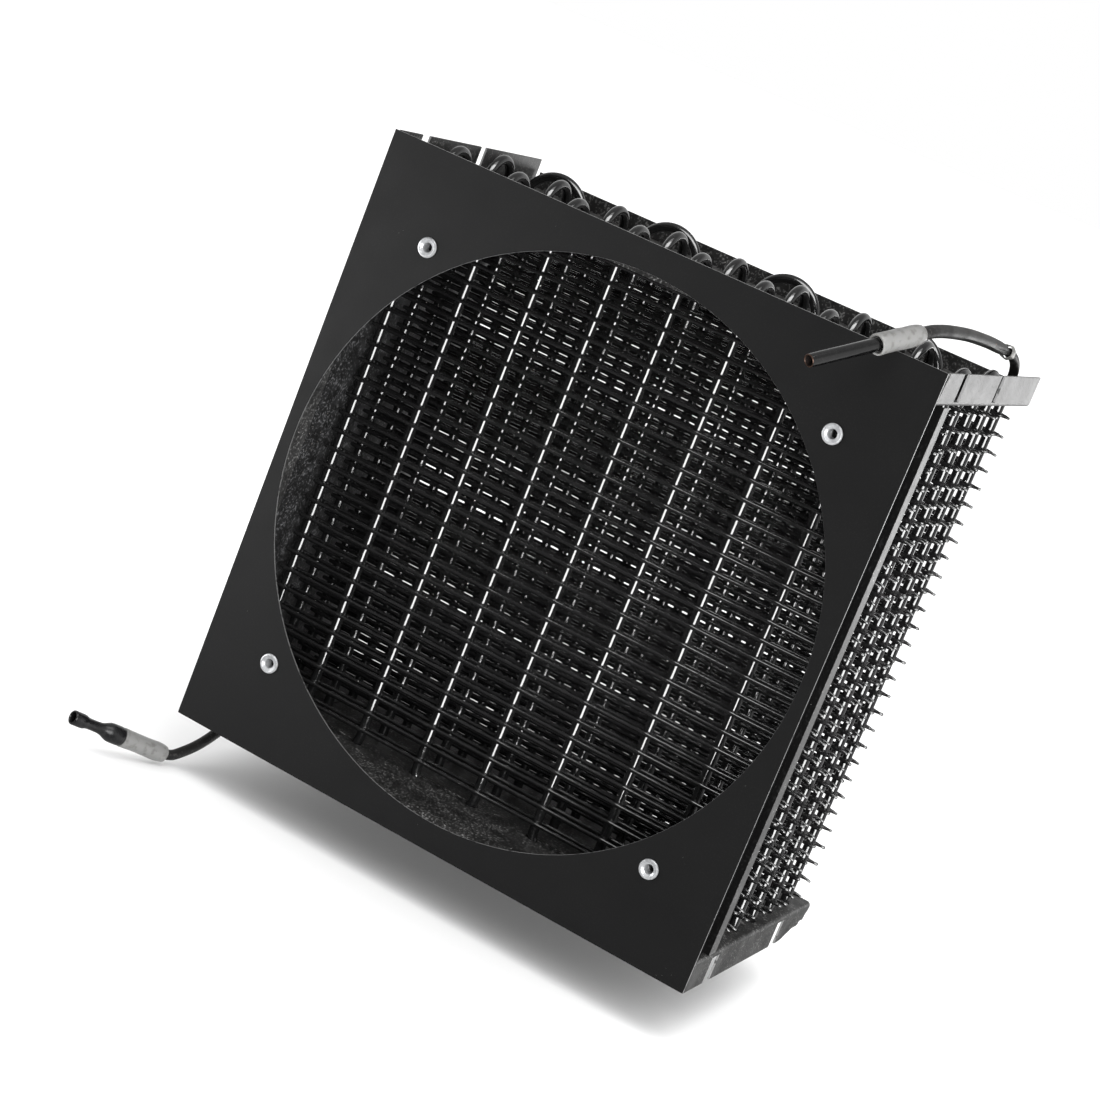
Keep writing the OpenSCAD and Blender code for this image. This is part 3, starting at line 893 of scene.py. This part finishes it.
def makeSleeve(name, nodeName, start, way, phase):
    sleeve = sleevePiece
    outer, inner, lip, length = sleeve["radius"], sleeve["bore"], sleeve["lip"], sleeve["length"]
    profile = [(inner, lip), (inner + 0.3 * lip, 0.2 * lip), (inner + lip, 0), (outer - lip, 0),
               (outer - 0.3 * lip, 0.2 * lip), (outer, lip)]
    profile += [(outer, length * share) for share in (0.08, 0.14, 0.2, 0.28, 0.38, 0.48, 0.6, 0.72, 0.84)]
    profile += [(outer, length - lip), (outer - 0.3 * lip, length - 0.2 * lip), (outer - lip, length),
                (inner + lip, length), (inner + 0.3 * lip, length - 0.2 * lip), (inner, length - lip)]
    profile += [(inner, length * share) for share in (0.8, 0.5, 0.2)] + [(inner, lip)]
    piece = turnPiece(name, profile, 40, closed=True, capped=False)
    for vertex in piece.data.vertices:  # heat has drawn it in unevenly
        turn = math.atan2(vertex.co.y, vertex.co.x)
        along = vertex.co.z / length
        dent = (0.5 + 0.5 * math.sin(2 * turn + phase + 3 * along)) * math.sin(along * math.pi) * sleeve["dents"]
        dent += 0.3 * sleeve["dents"] * (0.5 + 0.5 * math.sin(5 * turn + 9 * along + phase))
        dent += sleeve["drawnIn"] * max(0.0, 1 - along / 0.2) ** 1.6
        reach = 1 - dent / math.hypot(vertex.co.x, vertex.co.y)
        vertex.co.x *= reach
        vertex.co.y *= reach
    placePiece(piece, start, way)
    finishPiece(piece, "sleevePlastic", "sleeve_plastic", nodeName, angle=60)


solderRing = {
    "half": 2.8 * mm, "radius": 3.42 * mm, "bore": 2.9 * mm, "lumps": 0.28 * mm, "way": (-0.06, -0.985, 0.105),
}


def makeSolderRing():
    ring = solderRing
    low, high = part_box("inlet_braze_ring")
    middle = (low + high) / 2
    way = Vector(ring["way"]).normalized()
    profile = [(ring["bore"], -ring["half"])]
    for step in range(9):
        share = step / 8
        swell = math.sin(math.pi * (0.12 + 0.76 * share))
        profile.append((ring["bore"] + 0.02 * mm + (ring["radius"] - ring["bore"]) * swell,
                        ring["half"] * (2 * share - 1)))
    profile += [(ring["bore"], ring["half"]), (ring["bore"], -ring["half"])]
    piece = turnPiece("inletSolderRing", profile, 40, closed=True, capped=False)
    for vertex in piece.data.vertices:
        turn = math.atan2(vertex.co.y, vertex.co.x)
        reach = math.hypot(vertex.co.x, vertex.co.y)
        if reach > ring["bore"] + 0.05 * mm:
            lump = ring["lumps"] * (0.5 * math.sin(3 * turn + vertex.co.z / mm) + 0.5 * math.sin(7 * turn - 1.3))
            scale = 1 + lump / reach
            vertex.co.x *= scale
            vertex.co.y *= scale
    placePiece(piece, middle, way)
    finishPiece(piece, "solderBead", "solder", "inlet_braze_ring", angle=70)


nozzle = {
    "length": 35 * mm, "squash": 0.94,
    "profile": (  # radius and distance from the root, outside then inside, in millimetres
        (1.0, 0), (3.7, 0.05), (3.7, 6.0), (4.3, 6.15), (4.55, 6.6), (4.68, 7.6), (4.7, 9.0), (4.68, 12.2),
        (4.5, 13.6),
        (4.05, 15.0), (3.4, 16.6), (2.9, 18.2), (2.7, 20.0), (2.62, 23.0), (2.7, 26.2), (3.0, 27.4), (3.38, 28.4),
        (3.5, 30.0), (3.5, 34.3), (3.42, 34.8), (3.2, 34.98), (2.9, 34.98), (2.68, 34.8), (2.6, 34.3), (2.6, 28.4),
        (2.2, 27.4), (1.7, 27.0), (1.7, 10.0), (0.4, 9.6)),
}


def makeNozzle():
    piece = turnPiece("outletNozzle", [(r * mm, z * mm) for r, z in nozzle["profile"]], 48)
    for vertex in piece.data.vertices:  # the middle is pressed a little flat
        along = vertex.co.z / nozzle["length"]
        pressed = math.exp(-((along - 0.5) / 0.16) ** 2)
        vertex.co.x *= 1 - (1 - nozzle["squash"]) * pressed
    placePiece(piece, outletTip - outletWay * nozzle["length"], outletWay)
    finishPiece(piece, "nozzlePaint", "nozzle_rubber", "outlet_nozzle", angle=50)


print("connecting pipes")
smoothPipe("inlet_riser", "inletRiser", "pipePaint", "pipe_paint")
smoothPipe("inlet_pipe", "inletPipe", "pipePaint", "pipe_paint")
smoothPipe("outlet_pipe", "outletPipe", "pipePaint", "pipe_paint")
makeInletStub()
makeSolderRing()
sleeveStartIn = inletTip - inletWay * (pipeEnd["length"] + sleevePiece["length"])
makeSleeve("inletSleeve", "inlet_sleeve", sleeveStartIn, inletWay, 0.4)
nozzlePlug = 6 * mm  # how far the nozzle sits in its sleeve
sleeveStartOut = outletTip - outletWay * (nozzle["length"] - nozzlePlug + sleevePiece["length"])
makeSleeve("outletSleeve", "outlet_sleeve", sleeveStartOut, outletWay, 2.1)
makeNozzle()

linkLights()
